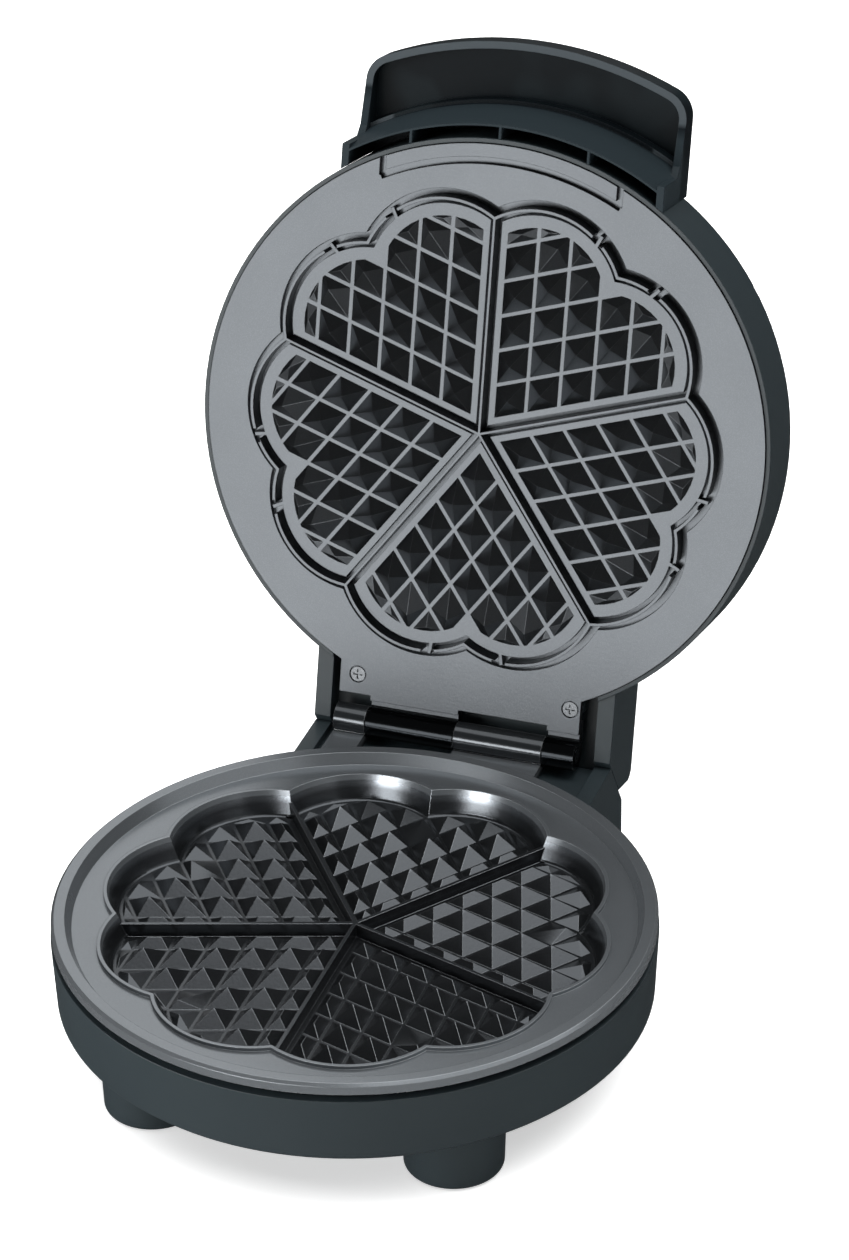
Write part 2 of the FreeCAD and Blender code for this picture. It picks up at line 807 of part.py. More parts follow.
def make_lower_plate():
    body = new_body("lower_plate_casting")
    profile = [
        (0, RING_LOW),
        (size.rim_foot + 1.0, RING_LOW),
        (size.rim_foot + 3.4, size.rim_edge_z),
        (size.rim_radius, size.rim_edge_z),
        (size.rim_radius, size.rim_top_z - size.rim_bevel),
        (size.rim_radius - size.rim_bevel, size.rim_top_z),
        (size.rim_inner, size.rim_top_z),
        (size.rim_foot, size.ring_z),
        (0, size.ring_z)]
    revolve(body, outline_sketch(body, "XZ_Plane", profile))
    lip_outer = size.lip_lobe + size.lip_width / 2
    flower_pad(body, lip_outer, RING_LOW, -RING_LOW)
    flower_pad(body, size.lip_lobe + size.pan_wall, FLOOR_LOW, RING_LOW - FLOOR_LOW)
    polar(body, cavity_lobe(body), size.lobe_count, False)
    core = circle_sketch(body, "XY_Plane", size.flower_core, 0, 0, -size.cavity_depth)
    pocket(body, core, size.cavity_depth + 1, upward=True)
    rise = size.plateau_z + size.cavity_depth
    flower_pad(body, size.plateau_lobe, -size.cavity_depth - 0.2, rise + 0.2)
    gap = outline_sketch(body, "XY_Plane", box_corners(
        -size.plateau_edge, size.plateau_edge, -size.divider_reach, 0), -size.cavity_depth)
    polar(body, pocket(body, gap, rise, upward=True), size.heart_count, False)
    ridge = outline_sketch(body, "XY_Plane", box_corners(
        -size.divider_width / 2, size.divider_width / 2, -size.divider_reach, 0),
        -size.cavity_depth - 0.2)
    ridge_height = size.cavity_depth + 0.2 + size.lower_divider_z
    polar(body, pad(body, ridge, ridge_height), size.heart_count, True)
    pad(body, circles(body, size.lug_radius, LUG_PLACES, BOSS_LOW), RING_LOW - BOSS_LOW)
    pocket(body, circles(body, size.screw_shank + size.running_gap, LUG_PLACES, BOSS_LOW),
           RING_LOW - BOSS_LOW, upward=True)
    shift, split, gap = size.hinge_shift, size.knuckle_split, size.knuckle_gap / 2
    knuckles(body, [
        (shift - size.barrel_half, shift - split - gap, size.lower_outer_web_start),
        (shift + gap, shift + split - gap, size.lower_web_start)],
        size.lower_web_low, size.lower_web_high)
    grid = Grid(size.grid_first - size.grid_pitch / 2, size.lower_valley, size.lower_edge,
                size.lower_grid_lobe, size.plateau_z, size.lower_peak)
    field = grid.field("lower_pyramids")
    piece("lower_plate", fuse("lower_plate_solid", [body, field]), BASE_FRAME)


# ---------------------------------------------------------------- base casing and feet

COVER_BOSSES = [(0, -94.0), (-94.0, 0), (94.0, 0)]
NECK_BOSSES = [(sign * 47.5, y) for y in (87.0, 119.5) for sign in (-1, 1)]
COVER_TOP = size.casing_low_z + size.cover_thickness
NECK_COVER_TOP = size.neck_low_z + size.cover_thickness
LUG_LOW = BOSS_LOW - size.lug_cup
SCREW_HOLE = size.screw_shank + 0.2


def make_base_casing():
    body = new_body("base_casing")
    edge = size.casing_edge
    revolve(body, outline_sketch(body, "XZ_Plane", [
        (0, size.casing_low_z),
        (size.casing_low_radius - edge, size.casing_low_z),
        (size.casing_low_radius, size.casing_low_z + edge),
        (size.casing_top_radius, size.casing_top_z),
        (0, size.casing_top_z)]))
    neck = outline_sketch(body, "YZ_Plane", [
        (size.neck_front_y, size.neck_low_z),
        (size.neck_back_y, size.neck_low_z),
        (size.neck_back_y, size.base_bevel_z),
        (size.base_bevel_y, size.neck_top_z),
        (size.neck_front_y, size.neck_top_z)])
    pad(body, neck, size.neck_half * 2, symmetric=True)
    drum = circle_sketch(body, "XY_Plane", size.casing_low_radius - size.wall, 0, 0,
                         size.casing_low_z)
    pocket(body, drum, 40, upward=True)
    top = circle_sketch(body, "XY_Plane", size.casing_top_radius, 0, 0, size.casing_top_z)
    pocket(body, top, 5, upward=True)
    under = size.saddle_z - size.wall
    hollow = outline_sketch(body, "YZ_Plane", [
        (size.neck_front_y + size.wall, size.neck_low_z - 1),
        (size.neck_back_y - size.wall, size.neck_low_z - 1),
        (size.neck_back_y - size.wall, size.base_bevel_z - 1.0),
        (size.saddle_inner_y, under),
        (size.neck_front_y + size.wall, under)])
    pocket(body, hollow, (size.neck_half - size.wall) * 2, symmetric=True)
    saddle = outline_sketch(body, "YZ_Plane", box_corners(
        size.neck_front_y, size.neck_back_y + 1, size.saddle_z, 1))
    pocket(body, saddle, size.cheek_inner * 2, symmetric=True)
    pad(body, circles(body, size.lug_cup_radius, LUG_PLACES, LUG_LOW), BOSS_LOW - LUG_LOW - size.seat_gap)
    pocket(body, circles(body, SCREW_HOLE, LUG_PLACES, LUG_LOW - 1), 5, upward=True)
    cover_seat = COVER_TOP + size.seat_gap
    pad(body, circles(body, size.boss_radius, COVER_BOSSES, cover_seat), size.boss_length)
    pocket(body, circles(body, size.screw_shank + size.running_gap, COVER_BOSSES, cover_seat),
           size.boss_length - 1, upward=True)
    neck_seat = NECK_COVER_TOP + size.seat_gap
    pad(body, circles(body, size.boss_radius, NECK_BOSSES, neck_seat), size.boss_length)
    pocket(body, circles(body, size.screw_shank + size.running_gap, NECK_BOSSES, neck_seat),
           size.boss_length - 1, upward=True)
    cord = circle_sketch(body, "XZ_Plane", size.gland_radius + 0.1, 0, size.gland_z,
                         -size.neck_back_y - 1)
    pocket(body, cord, size.wall + 2, upward=True)
    piece("base_casing", body, BASE_FRAME)


def make_base_cover():
    body = new_body("base_bottom_cover")
    radius = size.casing_low_radius - size.wall - 0.3
    pad(body, circle_sketch(body, "XY_Plane", radius, 0, 0, size.casing_low_z),
        size.cover_thickness)
    trim = size.neck_front_y - 0.4
    pocket(body, outline_sketch(body, "XY_Plane", box_corners(
        -120, 120, trim, 120), size.casing_low_z - 1), 6, upward=True)
    slots = new_sketch(body, "XY_Plane", size.casing_low_z - 1)
    for row in range(-3, 4):
        middle = size.vent_pitch * row
        draw_outline(slots, box_corners(-size.vent_length / 2, size.vent_length / 2,
                                        middle - size.vent_width / 2,
                                        middle + size.vent_width / 2))
    pocket(body, slots, 6, upward=True)
    holes = COVER_BOSSES + [(-size.foot_x, size.foot_y), (size.foot_x, size.foot_y)]
    pocket(body, circles(body, SCREW_HOLE, holes, size.casing_low_z - 1), 6, upward=True)
    piece("base_bottom_cover", body, BASE_FRAME)
    places = [(x, y, size.casing_low_z - size.screw_head_thickness) for x, y in COVER_BOSSES]
    piece("cover_screws", screws("cover_screws_set", places, 10, HEAD_DOWN), BASE_FRAME)
    places = [(x, y, LUG_LOW - size.screw_head_thickness) for x, y in LUG_PLACES]
    piece("lower_plate_screws", screws("plate_screws_set", places, 11, HEAD_DOWN), BASE_FRAME)


CLAMP_Y = size.clamp_y
CLAMP_SCREW_X = size.clamp_screw_x
CLAMP_PLACES = [(-CLAMP_SCREW_X, CLAMP_Y), (CLAMP_SCREW_X, CLAMP_Y)]


def make_neck_cover():
    body = new_body("neck_bottom_cover")
    play = size.wall + 0.3
    pad(body, outline_sketch(body, "XY_Plane", box_corners(
        -size.neck_half + play, size.neck_half - play,
        size.neck_front_y + play, size.neck_back_y - play), size.neck_low_z),
        size.cover_thickness)
    cord_low = size.gland_z - size.cord_radius
    saddle = outline_sketch(body, "XY_Plane", box_corners(
        -size.clamp_length / 2, size.clamp_length / 2,
        CLAMP_Y - size.clamp_width / 2, CLAMP_Y + size.clamp_width / 2), NECK_COVER_TOP)
    pad(body, saddle, cord_low - NECK_COVER_TOP)
    pocket(body, circles(body, size.screw_shank + size.running_gap, CLAMP_PLACES, cord_low), 5)
    pocket(body, circles(body, SCREW_HOLE, NECK_BOSSES, size.neck_low_z - 1), 6, upward=True)
    piece("neck_bottom_cover", body, BASE_FRAME)
    recess = size.neck_low_z - size.screw_head_thickness
    places = [(x, y, recess) for x, y in NECK_BOSSES]
    piece("neck_cover_screws", screws("neck_screws_set", places, 10, HEAD_DOWN), BASE_FRAME)
    cord_high = size.gland_z + size.cord_radius
    bar = cut("cord_clamp_bar",
              block("clamp_blank", size.clamp_length, size.clamp_width, size.clamp_thickness,
                    0, CLAMP_Y, cord_high),
              fuse("clamp_holes", [
                  cylinder("clamp_hole", SCREW_HOLE, size.clamp_thickness + 2, x, y,
                           cord_high - 1) for x, y in CLAMP_PLACES]))
    piece("cord_clamp", bar, BASE_FRAME)
    top = cord_high + size.clamp_thickness + size.screw_head_thickness
    places = [(x, y, top) for x, y in CLAMP_PLACES]
    piece("cord_clamp_screws", screws("clamp_screws_set", places, 16), BASE_FRAME)


def make_foot(side, sign):
    """A hollow turned foot, its boss for the screw, and the rubber pad let into its sole."""
    label = "front_foot_" + side
    body = new_body(label + "_moulding")
    low = size.foot_low_z
    sole = low + size.pad_recess
    revolve(body, outline_sketch(body, "XZ_Plane", [
        (0, sole),
        (size.pad_radius + 0.1, sole),
        (size.pad_radius + 0.1, low),
        (size.foot_low_radius - size.foot_edge, low, size.foot_edge),
        (size.foot_low_radius, low + size.foot_edge),
        (size.foot_top_radius, size.casing_low_z),
        (size.foot_top_radius - size.foot_wall, size.casing_low_z),
        (size.foot_low_radius - size.foot_wall, sole + size.foot_wall),
        (0, sole + size.foot_wall)]))
    pad(body, circle_sketch(body, "XY_Plane", size.lug_radius, 0, 0, sole + size.foot_wall),
        size.casing_low_z - sole - size.foot_wall)
    pocket(body, circle_sketch(body, "XY_Plane", size.screw_shank + size.running_gap, 0, 0,
                               size.casing_low_z), 12)
    place(body, size.foot_x * sign, size.foot_y, 0)
    piece(label, group(label + "_set", [body]), BASE_FRAME)
    level = -size.plate_level
    rubber = cylinder("rubber", size.pad_radius, sole - level, size.foot_x * sign,
                      size.foot_y, level)
    piece("front_foot_pad_" + side, rubber, BASE_FRAME)
    rear = cylinder("rubber", size.rear_pad_radius, size.neck_low_z - level,
                    size.rear_pad_x * sign, size.rear_pad_y, level)
    piece("rear_foot_pad_" + side, rear, BASE_FRAME)


def make_feet():
    for side, sign in (("left", -1), ("right", 1)):
        make_foot(side, sign)
    top = COVER_TOP + size.screw_head_thickness
    places = at_both_sides(size.foot_x, size.foot_y, top)
    piece("foot_screws", screws("foot_screws_set", places, 12), BASE_FRAME)


# ---------------------------------------------------------------- works in the base


def heating_element(label, centre_z, frame):
    """A bent tube heater with a gap at the back, where its cold ends leave towards the hinge."""
    sweep = size.element_sweep
    start = math.radians(90 + (360 - sweep.value) / 2)
    ring = doc.addObject("Part::Torus", label + "_ring")
    bind(ring, "Radius1", size.element_ring)
    bind(ring, "Radius2", size.element_tube)
    bind(ring, "Angle3", sweep)
    turn = FreeCAD.Rotation(Z_UP, math.degrees(start))
    place(ring, 0, 0, centre_z, turn)
    end_x = abs(size.element_ring.value * math.cos(start))
    end_y = size.element_ring.value * math.sin(start)
    cold_length = 26.0
    tubes = [ring]
    beads = []
    for sign in (-1, 1):
        tubes.append(cylinder(label + "_end", size.element_tube, cold_length,
                              sign * end_x, end_y, centre_z, ALONG_Y))
        bead_y = end_y + cold_length + size.seat_gap
        beads.append(fuse(label + "_bead", [
            cylinder(label + "_ceramic", size.element_tube + 0.1, 5, sign * end_x, bead_y,
                     centre_z, ALONG_Y),
            cylinder(label + "_pin", 1.0, 9, sign * end_x, bead_y, centre_z, ALONG_Y)]))
    piece(label, fuse(label + "_tube", tubes), frame)
    piece(label + "_terminals", group(label + "_terminal_set", beads), frame)


def make_reflector(label, level, rim, frame):
    """A pressed sheet dish behind a heater; rim is its flange height, signed."""
    body = new_body(label)
    outer, sheet_metal = size.reflector_radius, size.reflector_thickness
    thick = sheet_metal if rim.value > 0 else -sheet_metal
    revolve(body, outline_sketch(body, "XZ_Plane", [
        (size.reflector_hole, level),
        (outer, level),
        (outer, level + rim),
        (outer - sheet_metal, level + rim),
        (outer - sheet_metal, level + thick),
        (size.reflector_hole, level + thick)]))
    piece(label, body, frame)


def make_base_works():
    below_pan = FLOOR_LOW - size.seat_gap
    heating_element("lower_heating_element", below_pan - size.element_tube, BASE_FRAME)
    make_reflector("lower_reflector", size.lower_reflector_z, size.reflector_flange, BASE_FRAME)
    stat = fuse("thermostat_solid", [
        cylinder("thermostat_can", size.thermostat_radius, size.thermostat_height, 0, 0,
                 below_pan - size.thermostat_height),
        block("thermostat_strap", size.strap_length, size.strap_width, size.strap_thickness,
              0, 0, below_pan - size.strap_thickness)] + [
        block("thermostat_tag", size.tag_thickness, size.tag_width, size.tag_length,
              size.tag_x * sign, 0, below_pan - size.thermostat_height - size.tag_length)
        for sign in (-1, 1)])
    piece("thermostat", stat, BASE_FRAME)
    fuse_z = below_pan - size.fuse_radius
    half = size.fuse_length / 2
    link = fuse("thermal_fuse_solid", [
        cylinder("fuse_can", size.fuse_radius, size.fuse_length, -half, size.fuse_y, fuse_z,
                 ALONG_X),
        cylinder("fuse_wire", size.fuse_wire, size.fuse_length * 2.4, half * -2.4, size.fuse_y,
                 fuse_z, ALONG_X)])
    piece("thermal_fuse", link, BASE_FRAME)
    holes = fuse("terminal_holes", [
        cylinder("terminal_bore", size.terminal_hole, size.terminal_block_height,
                 size.terminal_pitch * k, size.terminal_block_y,
                 NECK_COVER_TOP + size.terminal_block_height / 2) for k in (-1, 0, 1)])
    terminals = cut("terminal_block_solid", block(
        "terminal_blank", size.terminal_block_length, size.terminal_block_width,
        size.terminal_block_height, 0, size.terminal_block_y, NECK_COVER_TOP), holes)
    piece("terminal_block", terminals, BASE_FRAME)
    inside = size.neck_back_y - size.wall - 8
    shell = fuse("gland_shell", [
        cylinder("gland_barrel", size.gland_radius, size.wall + 9, 0, inside, size.gland_z,
                 ALONG_Y),
        cylinder("gland_flange", size.gland_flange, size.gland_flange_thickness, 0,
                 size.neck_back_y, size.gland_z, ALONG_Y)])
    bore = cylinder("gland_bore", size.cord_radius + 0.1, 30, 0, inside - 2, size.gland_z,
                    ALONG_Y)
    piece("cord_gland", cut("cord_gland_solid", shell, bore), BASE_FRAME)
    pin = cylinder("hinge_pin_rod", size.pin_radius, size.barrel_half * 2,
                   size.hinge_shift - size.barrel_half, size.hinge_y, size.hinge_z, ALONG_X)
    piece("hinge_pin", pin, BASE_FRAME)


# ---------------------------------------------------------------- lid plate

LID_PLANE = size.lid_plane_z
LID_DISC_BACK = size.lid_plane_z + size.lid_disc
LID_BACK = LID_DISC_BACK + size.lid_boss


def strip_along(angle, start, end, width):
    """Corners of a strip that runs outwards from the plate's axis at a facing angle."""
    along = Vector(math.sin(angle), -math.cos(angle), 0)
    side = Vector(-along.y, along.x, 0) * (width.value / 2)
    ends = [along * start.value, along * end.value]
    corners = [ends[0] - side, ends[1] - side, ends[1] + side, ends[0] + side]
    return [(c.x, c.y) for c in corners]


def make_tick_bars(body):
    """Short bars across the groove, one near the top of each lobe, in openings of the bead."""
    middle = 180 / size.heart_count.value
    for swing in (-size.tick_angle.value, size.tick_angle.value):
        angle = math.radians(middle + swing)
        opening = outline_sketch(body, "XY_Plane", strip_along(
            angle, size.lobe_centre + size.frame_lobe - 0.5, size.tick_end + 0.5,
            size.bead_break), size.bead_z - 1)
        polar(body, pocket(body, opening, size.groove_z - size.bead_z + 1, upward=True),
              size.heart_count, False)
        bar = outline_sketch(body, "XY_Plane", strip_along(
            angle, size.tick_start, size.tick_end, size.tick_width), size.heart_z)
        polar(body, pad(body, bar, size.groove_z + 0.2 - size.heart_z), size.heart_count, True)


def make_hearts(body):
    """The groove round the flower, the bead that stands in it and the faces of the hearts."""
    floor = size.groove_z
    root = floor + 0.2
    flower_pocket(body, size.groove_lobe, LID_PLANE, floor - LID_PLANE)
    flower_pad(body, size.bead_outer_lobe, size.bead_z, root - size.bead_z)
    flower_pocket(body, size.bead_inner_lobe, size.bead_z, floor - size.bead_z)
    flower_pad(body, size.frame_lobe, size.heart_z, root - size.heart_z)
    trench = outline_sketch(body, "XY_Plane", box_corners(
        -size.heart_edge, size.heart_edge, -size.bead_cusp + 1.5, 0), size.heart_z)
    polar(body, pocket(body, trench, floor - size.heart_z, upward=True), size.heart_count, False)
    bead = outline_sketch(body, "XY_Plane", box_corners(
        -size.divider_bead / 2, size.divider_bead / 2, -size.bead_cusp, 0), size.bead_z)
    polar(body, pad(body, bead, root - size.bead_z), size.heart_count, True)


def make_upper_plate():
    body = new_body("upper_plate_casting")
    pad(body, circle_sketch(body, "XY_Plane", size.lid_plate_radius, 0, 0, LID_PLANE),
        size.lid_disc)
    pad(body, circle_sketch(body, "XY_Plane", size.lid_boss_radius, 0, 0, LID_DISC_BACK),
        size.lid_boss)
    shift, split, gap = size.hinge_shift, size.knuckle_split, size.knuckle_gap / 2
    tab = outline_sketch(body, "XY_Plane", box_corners(
        shift - size.tab_half, shift + size.tab_half, size.neck_front_y, size.tab_end_y),
        LID_PLANE)
    pad(body, tab, size.lid_disc)
    for left, right in ((-size.tab_half - 1, -split), (0, split)):
        notch = outline_sketch(body, "XY_Plane", box_corners(
            shift + left, shift + right, size.tab_notch_y, size.tab_end_y + 1), LID_PLANE - 1)
        pocket(body, notch, size.lid_disc + 2, upward=True)
    make_hearts(body)
    make_tick_bars(body)
    slot = body.newObject("PartDesign::Groove", "latch_slot")
    slot.Profile = outline_sketch(body, "YZ_Plane", box_corners(
        -size.slot_outer, -size.slot_inner, LID_PLANE, LID_PLANE + size.slot_depth))
    slot.ReferenceAxis = (slot.Profile[0], ["V_Axis"])
    slot.Midplane = True
    bind(slot, "Angle", size.slot_swing)
    finish_feature(body, slot, False)
    arm_low = -size.lid_plate_radius - 1
    for left in (-size.slot_half, size.slot_half - size.slot_arm):
        arm = outline_sketch(body, "XY_Plane", box_corners(
            left, left + size.slot_arm, arm_low, size.slot_arm_y), LID_PLANE)
        pocket(body, arm, size.slot_depth, upward=True)
    screw_places = [(-size.tab_screw_x, size.tab_screw_y), (size.tab_screw_x, size.tab_screw_y)]
    pocket(body, circles(body, size.screw_seat_radius, screw_places, LID_PLANE),
           size.screw_seat_depth, upward=True)
    pocket(body, circles(body, SCREW_HOLE, screw_places, LID_PLANE), size.lid_disc, upward=True)
    knuckles(body, [
        (shift - split + gap, shift - gap, size.upper_web_start),
        (shift + split + gap, shift + size.barrel_half, size.upper_web_start)],
        size.upper_web_low, size.upper_web_high)
    grid = Grid(size.grid_first, size.upper_valley, size.upper_edge, size.upper_grid_lobe,
                size.heart_z, size.upper_peak)
    field = grid.field("upper_pyramids")
    piece("upper_plate", fuse("upper_plate_solid", [body, field]), LID_FRAME)
    head_top = LID_PLANE + size.screw_seat_depth - size.screw_head_thickness
    places = at_both_sides(size.tab_screw_x, size.tab_screw_y, head_top)
    piece("tab_screws", screws("tab_screws_set", places, 11, HEAD_DOWN), LID_FRAME)


# ---------------------------------------------------------------- lid casing and handle

LAMPS = [(-size.lamp_x, size.lamp_y), (size.lamp_x, size.lamp_y)]
HANDLE_SCREW_X = size.handle_screw_x
HANDLE_SCREW_Z = size.handle_screw_z


def make_lid_casing():
    body = new_body("lid_casing")
    rounding = size.lid_round
    revolve(body, outline_sketch(body, "XZ_Plane", [
        (0, size.lid_front_z),
        (size.lid_radius, size.lid_front_z),
        (size.lid_radius, size.lid_back_z - rounding, rounding),
        (size.lid_radius - rounding, size.lid_back_z),
        (0, size.lid_back_z)]))
    neck = outline_sketch(body, "YZ_Plane", [
        (size.neck_front_y, size.lid_neck_z),
        (size.lid_bevel_y, size.lid_neck_z),
        (size.lid_neck_back_y, size.lid_bevel_z),
        (size.lid_neck_back_y, size.lid_back_z - rounding, rounding),
        (size.lid_neck_back_y - rounding, size.lid_back_z),
        (size.neck_front_y, size.lid_back_z)])
    pad(body, neck, size.neck_half * 2, symmetric=True)
    inner_back = size.lid_back_z - size.wall
    drum = circle_sketch(body, "XY_Plane", size.lid_radius - size.wall, 0, 0,
                         size.lid_front_z)
    pocket(body, drum, inner_back - size.lid_front_z, upward=True)
    rebate = circle_sketch(body, "XY_Plane", size.lid_plate_radius + size.seat_gap, 0, 0,
                           size.lid_front_z)
    pocket(body, rebate, LID_DISC_BACK + size.seat_gap - size.lid_front_z, upward=True)
    over = size.lid_saddle_z + size.wall
    hollow = outline_sketch(body, "YZ_Plane", [
        (size.neck_front_y, over),
        (size.lid_saddle_inner_y, over),
        (size.lid_neck_back_y - size.wall, size.lid_bevel_z + 2),
        (size.lid_neck_back_y - size.wall, inner_back),
        (size.neck_front_y, inner_back)])
    pocket(body, hollow, (size.neck_half - size.wall) * 2, symmetric=True)
    saddle = outline_sketch(body, "YZ_Plane", box_corners(
        size.neck_front_y, size.lid_neck_back_y + 1, 0, size.lid_saddle_z))
    pocket(body, saddle, size.cheek_inner * 2, symmetric=True)
    screw_places = [(-size.tab_screw_x, size.tab_screw_y), (size.tab_screw_x, size.tab_screw_y)]
    seat = LID_DISC_BACK + size.seat_gap
    pad(body, circles(body, size.lug_radius, screw_places, seat), size.lid_back_z - 1 - seat)
    pocket(body, circles(body, size.screw_shank + size.running_gap, screw_places, seat), 9,
           upward=True)
    pocket(body, circles(body, size.lamp_radius + 0.1, LAMPS, inner_back - 1),
           size.wall + 2, upward=True)
    front = new_sketch(body, "XZ_Plane", size.lid_radius + 1)
    for x in (-HANDLE_SCREW_X, HANDLE_SCREW_X):
        draw_circle(front, SCREW_HOLE, x, HANDLE_SCREW_Z)
    pocket(body, front, 12)
    piece("lid_casing", body, LID_FRAME)


def arc_strip(inner, outer, left, right):
    """A strip between two circles about the plate's axis, cut off straight at both sides."""
    return [(left, -beside(inner, left), inner), (right, -beside(inner, right)),
            (right, -beside(outer, right), -outer), (left, -beside(outer, left))]


def paddle_outline(root, reach, half, corner):
    """A strip like arc_strip, but with rounded outer corners."""
    bend_x = half - corner
    bend_y = beside(reach - corner, bend_x)
    tip_x = bend_x * reach / (reach - corner)
    tip_y = beside(reach, tip_x)
    return [(-half, -beside(root, half), root), (half, -beside(root, half)),
            (half, -bend_y, -corner), (tip_x, -tip_y, -reach),
            (-tip_x, -tip_y, -corner), (-half, -bend_y)]


def make_handle():
    body = new_body("handle")
    half, rim = size.handle_half, size.paddle_rim
    root = size.lid_radius + size.handle_gap
    near = outline_sketch(body, "XY_Plane", arc_strip(
        root, size.shelf_low_radius, -half, half), size.handle_front_z)
    far = outline_sketch(body, "XY_Plane", arc_strip(
        root, size.shelf_high_radius, -half, half), size.handle_back_z)
    shelf = body.newObject("PartDesign::AdditiveLoft", "handle_shelf")
    shelf.Profile = near
    shelf.Sections = [far]
    shelf.Ruled = True
    finish_feature(body, shelf, True)
    paddle = outline_sketch(body, "XY_Plane", paddle_outline(
        root, size.paddle_radius, half, size.paddle_corner), size.paddle_low_z)
    pad(body, paddle, size.handle_back_z - size.paddle_low_z)
    recess = outline_sketch(body, "XY_Plane", paddle_outline(
        size.shelf_high_radius, size.paddle_radius - rim, half - rim,
        size.paddle_corner - rim), size.paddle_low_z)
    pocket(body, recess, size.paddle_skin_z - size.paddle_low_z, upward=True)
    cheek = outline_sketch(body, "YZ_Plane", [
        (size.cheek_root_y, size.handle_front_z), (size.cheek_root_y, size.paddle_skin_z),
        (size.cheek_tip_y, size.paddle_skin_z), (size.cheek_tip_y, size.paddle_low_z),
        (size.cheek_bend_y, size.cheek_bend_z),
        (size.cheek_foot_y, size.cheek_bend_z - 3), (size.cheek_foot_y, size.handle_front_z)],
        half - rim)
    mirror_x(body, [pad(body, cheek, rim)], True)
    wall = size.shelf_wall
    pockets = new_sketch(body, "XY_Plane", size.handle_front_z)
    rib = size.handle_rib / 2
    end = half - rim
    shift = size.handle_rib_shift
    spans = [(-end, shift - size.handle_rib_x - rib), (shift - size.handle_rib_x + rib,
                                                       shift - rib),
             (shift + rib, shift + size.handle_rib_x - rib),
             (shift + size.handle_rib_x + rib, end)]
    for left, right in spans:
        draw_outline(pockets, arc_strip(root - 1, size.shelf_low_radius - wall, left, right))
    pocket(body, pockets, size.shelf_pocket, upward=True)
    holes = new_sketch(body, "XZ_Plane", 90)
    for x in (-HANDLE_SCREW_X, HANDLE_SCREW_X):
        draw_circle(holes, size.screw_shank + size.running_gap, x, HANDLE_SCREW_Z)
    pocket(body, holes, 16, upward=True)
    piece("handle", body, LID_FRAME)
    places = at_both_sides(HANDLE_SCREW_X, size.handle_screw_y, HANDLE_SCREW_Z)
    piece("handle_screws", screws("handle_screws_set", places, 12.5, ALONG_Y), LID_FRAME)


def make_lid_works():
    heating_element("upper_heating_element", LID_BACK + size.seat_gap + size.element_tube,
                    LID_FRAME)
    make_reflector("upper_reflector", size.upper_reflector_z, -size.reflector_flange, LID_FRAME)
    inner_back = size.lid_back_z - size.wall
    for name, (x, y) in zip(("power_lamp_lens", "ready_lamp_lens"), LAMPS):
        lens = cylinder(name + "_rod", size.lamp_radius, size.wall + size.lamp_proud + 2, x, y,
                        inner_back - 2)
        piece(name, lens, LID_FRAME)
    holder = block("lamp_holder_block", size.lamp_holder_length, size.lamp_holder_width,
                   size.lamp_holder_height, 0, size.lamp_y,
                   inner_back - size.lamp_holder_height - 2)
    piece("lamp_holder", holder, LID_FRAME)


# ---------------------------------------------------------------- build, test and write


def check_and_write():
    doc.recompute()
    for obj in doc.Objects:
        if {"Invalid", "Error"} & set(obj.State):
            raise RuntimeError("%s is %s" % (obj.Label, obj.State))
    os.makedirs("parts", exist_ok=True)
    for obj in pieces:
        shape = obj.Shape
        if shape.isNull() or not shape.isValid() or not shape.Solids:
            raise RuntimeError("%s has no sound solid" % obj.Label)
        shape.exportStep(os.path.join("parts", obj.Label + ".step"))
        print("%-34s solids %2d  volume %10.1f" % (obj.Label, len(shape.Solids), shape.Volume))
    box = Part.makeCompound([obj.Shape for obj in pieces]).BoundBox
    print("box x %.2f %.2f  y %.2f %.2f  z %.2f %.2f" % (
        box.XMin, box.XMax, box.YMin, box.YMax, box.ZMin, box.ZMax))


make_lower_plate()
make_base_casing()
make_base_cover()
make_neck_cover()
make_feet()
make_base_works()
make_upper_plate()
make_lid_casing()
make_handle()
make_lid_works()
check_and_write()
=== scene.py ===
import json
import math

import bpy
from mathutils import Matrix, Vector


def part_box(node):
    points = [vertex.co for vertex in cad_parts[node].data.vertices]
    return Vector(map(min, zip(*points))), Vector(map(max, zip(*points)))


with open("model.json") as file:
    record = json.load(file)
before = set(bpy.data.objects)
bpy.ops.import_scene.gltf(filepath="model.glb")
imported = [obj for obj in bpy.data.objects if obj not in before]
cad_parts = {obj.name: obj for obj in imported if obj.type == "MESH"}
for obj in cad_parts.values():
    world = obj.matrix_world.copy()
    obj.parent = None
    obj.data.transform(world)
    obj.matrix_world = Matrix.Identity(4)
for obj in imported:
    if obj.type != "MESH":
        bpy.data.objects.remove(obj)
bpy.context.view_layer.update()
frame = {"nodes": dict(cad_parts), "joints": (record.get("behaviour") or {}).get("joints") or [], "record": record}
nodes = frame["nodes"]
scene = bpy.context.scene

# ---------------------------------------------------------------- where things are

hinge = Vector(frame["joints"][0]["pos_m"])
swing = math.radians(frame["joints"][0]["range_deg"][1])
low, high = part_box("lower_reflector")
plate_axis = Vector(((low.x + high.x) / 2, (low.y + high.y) / 2, 0))
hinge_above_lip = 0.00334
lip_z = hinge.z - hinge_above_lip
cavity_z = lip_z - 0.0019         # from here down the lower plate has its cavity's finish
barrel_radius = 0.0058
lid_out = Vector((0, -math.sin(swing), -math.cos(swing)))
lid_along = Vector((0, -math.cos(swing), math.sin(swing)))
lid_middle = Vector((0, plate_axis.y + 0.155, 0.16))
lower_middle = Vector((0, plate_axis.y, lip_z))


# ---------------------------------------------------------------- materials


